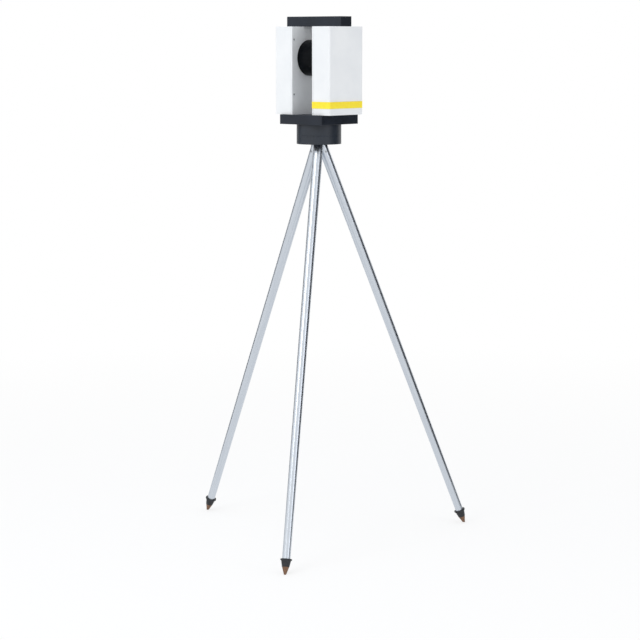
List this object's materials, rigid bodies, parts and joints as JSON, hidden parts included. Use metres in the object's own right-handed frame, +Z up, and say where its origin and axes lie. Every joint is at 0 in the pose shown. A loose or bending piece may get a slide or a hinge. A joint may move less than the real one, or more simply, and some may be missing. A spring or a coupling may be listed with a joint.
{
  "type": "terrestrial laser scanner",
  "caption": "Terrestrial laser scanner: two towers with a spinning mirror drum between them on a turning plate, carried by a tripod with folding tapered legs.",
  "frame": {"origin": "on the vertical turning axis, at the ground the three spikes stand on", "axes": "+Z up along the turning axis, +X across the towers towards the banded one, -Y out of the front of the head"},
  "size_m": [0.8647, 0.9894, 1.85],
  "materials": {
    "black_anodised": "satin",
    "dark_casting": "matte",
    "white_shell": "satin",
    "white_casting": "satin",
    "yellow_rubber": "satin",
    "leg_aluminium": "satin",
    "fitting_aluminium": "satin",
    "shoe_plastic": "matte",
    "spike_bronze": "satin",
    "drum_gloss": "gloss",
    "window_glass": "polished",
    "mirror_gold": "polished",
    "lens_glass": "polished",
    "steel": "satin",
    "bearing_steel": "polished",
    "brass": "satin",
    "copper_windings": "satin",
    "machined_aluminium": "satin",
    "seal_rubber": "matte",
    "black_plastic": "satin",
    "board_green": "satin",
    "display_glass": "polished",
    "level_glass": "polished",
    "battery_plastic": "matte"
  },
  "bodies": {
    "base": {"tripod_head": "dark_casting", "leg_hinge_pins": "steel", "base_adapter": "machined_aluminium", "base_housing": "dark_casting", "base_screws": "steel", "base_seal": "seal_rubber", "power_inlet": "steel", "azimuth_bearing_outer": "bearing_steel", "azimuth_bearing_balls": "bearing_steel", "azimuth_motor_stator": "copper_windings", "slip_ring": "brass"},
    "clamp_pad": {"clamp_pad": "brass"},
    "clamp_knob": {"clamp_knob": "black_plastic"},
    "leg_a": {"leg_a_hinge": "fitting_aluminium", "leg_a_tube": "leg_aluminium", "leg_a_shoe": "shoe_plastic", "leg_a_spike": "spike_bronze"},
    "leg_b": {"leg_b_hinge": "fitting_aluminium", "leg_b_tube": "leg_aluminium", "leg_b_shoe": "shoe_plastic", "leg_b_spike": "spike_bronze"},
    "leg_c": {"leg_c_hinge": "fitting_aluminium", "leg_c_tube": "leg_aluminium", "leg_c_shoe": "shoe_plastic", "leg_c_spike": "spike_bronze"},
    "head": {"azimuth_bearing_inner": "bearing_steel", "azimuth_spindle": "machined_aluminium", "azimuth_motor_rotor": "steel", "azimuth_encoder_disc": "lens_glass", "turntable_plate": "black_anodised", "turntable_cover": "black_plastic", "bubble_level": "level_glass", "left_tower_frame": "white_casting", "right_tower_frame": "white_casting", "left_tower_cover": "white_shell", "right_tower_cover": "white_shell", "bumper_band": "yellow_rubber", "frame_screws": "steel", "cover_screws": "steel", "handle_beam": "black_anodised", "handle_lid": "black_anodised", "accessory_insert": "steel", "mirror_bearing_outer": "bearing_steel", "mirror_motor_stator": "machined_aluminium", "laser_unit": "machined_aluminium", "laser_lens": "lens_glass", "main_board": "board_green", "display_module": "display_glass", "port_block": "black_plastic", "battery_pack": "battery_plastic", "flap_hinge_pins": "steel"},
    "mirror_drum": {"drum_shell": "drum_gloss", "drum_window": "window_glass", "drum_hub": "machined_aluminium", "scan_mirror": "mirror_gold", "mirror_bearing_inner": "bearing_steel", "mirror_motor_rotor": "steel"},
    "battery_door": {"battery_door": "white_shell"},
    "port_cover": {"port_cover": "white_shell"},
    "power_button": {"power_button": "black_plastic"}
  },
  "joints": [
    {"name": "leg_a_fold", "type": "hinge", "parent": "base", "child": "leg_a", "pos_m": [0.01025, -0.01775, 1.3804], "axis": [0.866, 0.5, 0], "range_deg": [0, 20.9]},
    {"name": "leg_b_fold", "type": "hinge", "parent": "base", "child": "leg_b", "pos_m": [0.01025, 0.01775, 1.3804], "axis": [-0.866, 0.5, 0], "range_deg": [0, 20.9]},
    {"name": "leg_c_fold", "type": "hinge", "parent": "base", "child": "leg_c", "pos_m": [-0.0205, 0, 1.3804], "axis": [0, -1, 0], "range_deg": [0, 20.9]},
    {"name": "clamp_travel", "type": "slide", "parent": "base", "child": "clamp_pad", "axis": [-0.5, 0.866, 0], "range_m": [0, 0.0025]},
    {"name": "clamp_turn", "type": "hinge", "parent": "clamp_pad", "child": "clamp_knob", "pos_m": [0, 0, 1.4294], "axis": [-0.5, 0.866, 0], "range_deg": [0, 725]},
    {"name": "azimuth_turn", "type": "hinge", "parent": "base", "child": "head", "pos_m": [0, 0, 1.4771], "axis": [0, 0, 1], "continuous": true},
    {"name": "mirror_spin", "type": "hinge", "parent": "head", "child": "mirror_drum", "pos_m": [0, 0, 1.7067], "axis": [1, 0, 0], "continuous": true},
    {"name": "battery_door_open", "type": "hinge", "parent": "head", "child": "battery_door", "pos_m": [-0.1287, 0, 1.56], "axis": [0, -1, 0], "range_deg": [0, 110]},
    {"name": "port_cover_open", "type": "hinge", "parent": "head", "child": "port_cover", "pos_m": [-0.08997, 0.0905, 1.60655], "axis": [-1, 0, 0], "range_deg": [0, 110]},
    {"name": "power_button_press", "type": "slide", "parent": "head", "child": "power_button", "axis": [0, -1, 0], "range_m": [0, 0.0008], "stiffness_N_per_m": 600, "springref_m": -0.001}
  ],
  "couplings": [
    {"joint": "clamp_turn", "follows": "clamp_travel", "rad_per_m": 5026.5}
  ]
}
